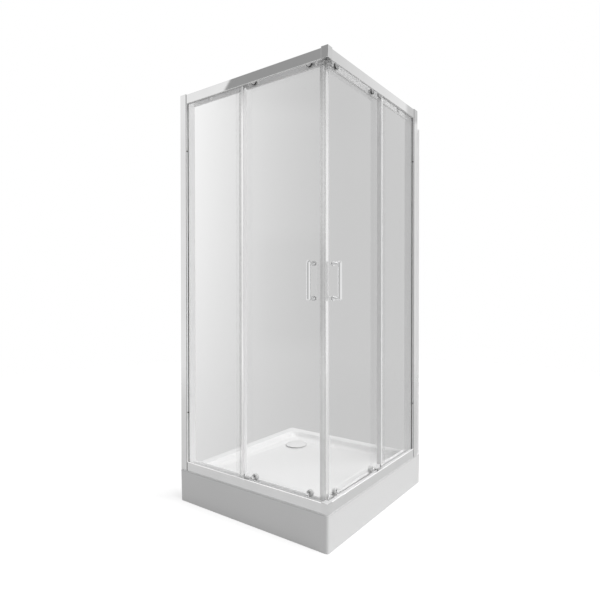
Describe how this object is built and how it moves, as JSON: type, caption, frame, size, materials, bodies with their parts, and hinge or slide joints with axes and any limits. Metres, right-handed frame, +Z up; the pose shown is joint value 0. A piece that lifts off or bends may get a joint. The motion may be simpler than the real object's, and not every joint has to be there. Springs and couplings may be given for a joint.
{
  "type": "shower cabin",
  "caption": "Square corner shower cabin on a deep white tray, with fixed glass panes and sliding glass doors that meet at the front corner.",
  "frame": {"origin": "centre of the tray's foot, on the floor", "axes": "+Z up, the glass sides face -Y (left side) and +X (right side), the room walls are at -X and +Y"},
  "size_m": [0.9, 0.9, 2.027],
  "materials": {
    "white_acrylic": "gloss",
    "raw_board": "raw chipboard",
    "zinc_steel": "zinc plated",
    "black_rubber": "matte",
    "white_plastic": "satin",
    "stainless": "polished",
    "chrome_plastic": "polished",
    "bright_aluminium": "bright anodised",
    "silver_plastic": "satin silver",
    "black_plastic": "satin",
    "clear_glass": "clear, toughened",
    "clear_seal": "translucent",
    "grey_seal": "satin",
    "pale_seal": "translucent",
    "magnet_rubber": "matte",
    "chrome": "polished",
    "grey_nylon": "satin",
    "white_nylon": "satin",
    "spring_steel": "drawn wire"
  },
  "bodies": {
    "cabin": {"tray": "white_acrylic", "tray_board": "raw_board", "leg_studs": "zinc_steel", "leg_pads": "black_rubber", "waste_body": "white_plastic", "waste_gasket": "black_rubber", "waste_flange": "stainless", "wall_channels": "bright_aluminium", "left_wall_post": "bright_aluminium", "right_wall_post": "bright_aluminium", "post_caps": "bright_aluminium", "left_top_rail": "bright_aluminium", "right_top_rail": "bright_aluminium", "left_bottom_rail": "bright_aluminium", "right_bottom_rail": "bright_aluminium", "top_corner_block": "silver_plastic", "bottom_corner_block": "silver_plastic", "rail_screws": "zinc_steel", "clamp_screws": "zinc_steel", "door_stops": "black_rubber", "left_fixed_pane": "clear_glass", "right_fixed_pane": "clear_glass", "pane_gaskets": "black_rubber", "pane_end_blocks": "black_plastic", "left_pane_seal": "clear_seal", "right_pane_seal": "clear_seal"},
    "left_door": {"left_door_glass": "clear_glass", "left_rear_seal": "grey_seal", "left_magnet_seal": "pale_seal", "left_magnet_strip": "magnet_rubber", "left_handle": "chrome", "left_handle_fixings": "chrome", "left_hangers": "chrome", "left_release_bushes": "grey_nylon", "left_release_spring_near": "spring_steel", "left_release_spring_far": "spring_steel"},
    "left_top_wheel_near": {"left_top_wheel_near": "white_nylon"},
    "left_release_near": {"left_release_knob_near": "chrome"},
    "left_bottom_wheel_near": {"left_bottom_wheel_near": "white_nylon"},
    "left_top_wheel_far": {"left_top_wheel_far": "white_nylon"},
    "left_release_far": {"left_release_knob_far": "chrome"},
    "left_bottom_wheel_far": {"left_bottom_wheel_far": "white_nylon"},
    "right_door": {"right_door_glass": "clear_glass", "right_rear_seal": "grey_seal", "right_magnet_seal": "pale_seal", "right_magnet_strip": "magnet_rubber", "right_handle": "chrome", "right_handle_fixings": "chrome", "right_hangers": "chrome", "right_release_bushes": "grey_nylon", "right_release_spring_near": "spring_steel", "right_release_spring_far": "spring_steel"},
    "right_top_wheel_near": {"right_top_wheel_near": "white_nylon"},
    "right_release_near": {"right_release_knob_near": "chrome"},
    "right_bottom_wheel_near": {"right_bottom_wheel_near": "white_nylon"},
    "right_top_wheel_far": {"right_top_wheel_far": "white_nylon"},
    "right_release_far": {"right_release_knob_far": "chrome"},
    "right_bottom_wheel_far": {"right_bottom_wheel_far": "white_nylon"},
    "drain_cup": {"drain_cup": "chrome_plastic"},
    "drain_cover": {"drain_cover": "chrome_plastic"}
  },
  "joints": [
    {"name": "left_door_slide", "type": "slide", "parent": "cabin", "child": "left_door", "axis": [-1, 0, 0], "range_m": [0, 0.28]},
    {"name": "left_top_wheel_near_spin", "type": "hinge", "parent": "left_door", "child": "left_top_wheel_near", "pos_m": [0.326, -0.394, 1.996], "axis": [0, -1, 0], "continuous": true},
    {"name": "left_release_near_lift", "type": "slide", "parent": "left_door", "child": "left_release_near", "axis": [0, 0, 1], "range_m": [0, 0.005], "stiffness_N_per_m": 600, "springref_m": -0.004, "deforming": ["left_release_spring_near"]},
    {"name": "left_bottom_wheel_near_spin", "type": "hinge", "parent": "left_release_near", "child": "left_bottom_wheel_near", "pos_m": [0.326, -0.394, 0.202], "axis": [0, -1, 0], "continuous": true},
    {"name": "left_top_wheel_far_spin", "type": "hinge", "parent": "left_door", "child": "left_top_wheel_far", "pos_m": [0.016, -0.394, 1.996], "axis": [0, -1, 0], "continuous": true},
    {"name": "left_release_far_lift", "type": "slide", "parent": "left_door", "child": "left_release_far", "axis": [0, 0, 1], "range_m": [0, 0.005], "stiffness_N_per_m": 600, "springref_m": -0.004, "deforming": ["left_release_spring_far"]},
    {"name": "left_bottom_wheel_far_spin", "type": "hinge", "parent": "left_release_far", "child": "left_bottom_wheel_far", "pos_m": [0.016, -0.394, 0.202], "axis": [0, -1, 0], "continuous": true},
    {"name": "right_door_slide", "type": "slide", "parent": "cabin", "child": "right_door", "axis": [0, 1, 0], "range_m": [0, 0.28]},
    {"name": "right_top_wheel_near_spin", "type": "hinge", "parent": "right_door", "child": "right_top_wheel_near", "pos_m": [0.394, -0.326, 1.996], "axis": [-1, 0, 0], "continuous": true},
    {"name": "right_release_near_lift", "type": "slide", "parent": "right_door", "child": "right_release_near", "axis": [0, 0, 1], "range_m": [0, 0.005], "stiffness_N_per_m": 600, "springref_m": -0.004, "deforming": ["right_release_spring_near"]},
    {"name": "right_bottom_wheel_near_spin", "type": "hinge", "parent": "right_release_near", "child": "right_bottom_wheel_near", "pos_m": [0.394, -0.326, 0.202], "axis": [-1, 0, 0], "continuous": true},
    {"name": "right_top_wheel_far_spin", "type": "hinge", "parent": "right_door", "child": "right_top_wheel_far", "pos_m": [0.394, -0.016, 1.996], "axis": [-1, 0, 0], "continuous": true},
    {"name": "right_release_far_lift", "type": "slide", "parent": "right_door", "child": "right_release_far", "axis": [0, 0, 1], "range_m": [0, 0.005], "stiffness_N_per_m": 600, "springref_m": -0.004, "deforming": ["right_release_spring_far"]},
    {"name": "right_bottom_wheel_far_spin", "type": "hinge", "parent": "right_release_far", "child": "right_bottom_wheel_far", "pos_m": [0.394, -0.016, 0.202], "axis": [-1, 0, 0], "continuous": true},
    {"name": "drain_cup_lift", "type": "slide", "parent": "cabin", "child": "drain_cup", "axis": [0, 0, 1], "range_m": [0, 0.1]},
    {"name": "drain_cover_lift", "type": "slide", "parent": "drain_cup", "child": "drain_cover", "axis": [0, 0, 1], "range_m": [0, 0.05]}
  ],
  "couplings": [
    {"joint": "left_top_wheel_near_spin", "follows": "left_door_slide", "rad_per_m": 86.957},
    {"joint": "left_bottom_wheel_near_spin", "follows": "left_door_slide", "rad_per_m": 90.909},
    {"joint": "left_top_wheel_far_spin", "follows": "left_door_slide", "rad_per_m": 86.957},
    {"joint": "left_bottom_wheel_far_spin", "follows": "left_door_slide", "rad_per_m": 90.909},
    {"joint": "right_top_wheel_near_spin", "follows": "right_door_slide", "rad_per_m": 86.957},
    {"joint": "right_bottom_wheel_near_spin", "follows": "right_door_slide", "rad_per_m": 90.909},
    {"joint": "right_top_wheel_far_spin", "follows": "right_door_slide", "rad_per_m": 86.957},
    {"joint": "right_bottom_wheel_far_spin", "follows": "right_door_slide", "rad_per_m": 90.909}
  ]
}
